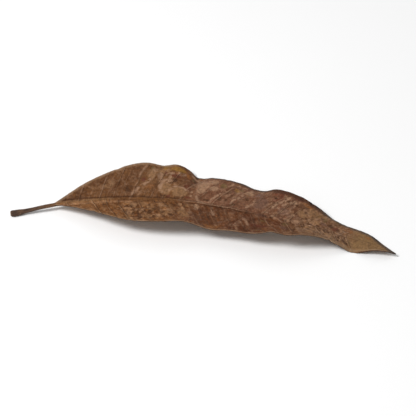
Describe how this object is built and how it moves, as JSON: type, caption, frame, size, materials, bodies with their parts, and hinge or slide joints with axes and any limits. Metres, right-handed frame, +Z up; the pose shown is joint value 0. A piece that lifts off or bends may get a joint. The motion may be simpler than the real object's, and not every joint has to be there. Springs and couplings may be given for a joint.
{
  "type": "dried mango leaf",
  "caption": "Long dried mango leaf, brown and wavy-edged, with a raised midrib, side veins, a drawn-out tip and a short stalk, lying upper side up.",
  "frame": {"origin": "under the middle of the leaf's bounding box, on the surface that it lies on", "axes": "+X along the leaf to its tip, +Y across the blade to its flatter half, +Z up"},
  "size_m": [0.2357, 0.0577, 0.0154],
  "materials": {
    "leaf": "matte"
  },
  "bodies": {
    "root": {"leaf": "leaf"}
  },
  "joints": []
}
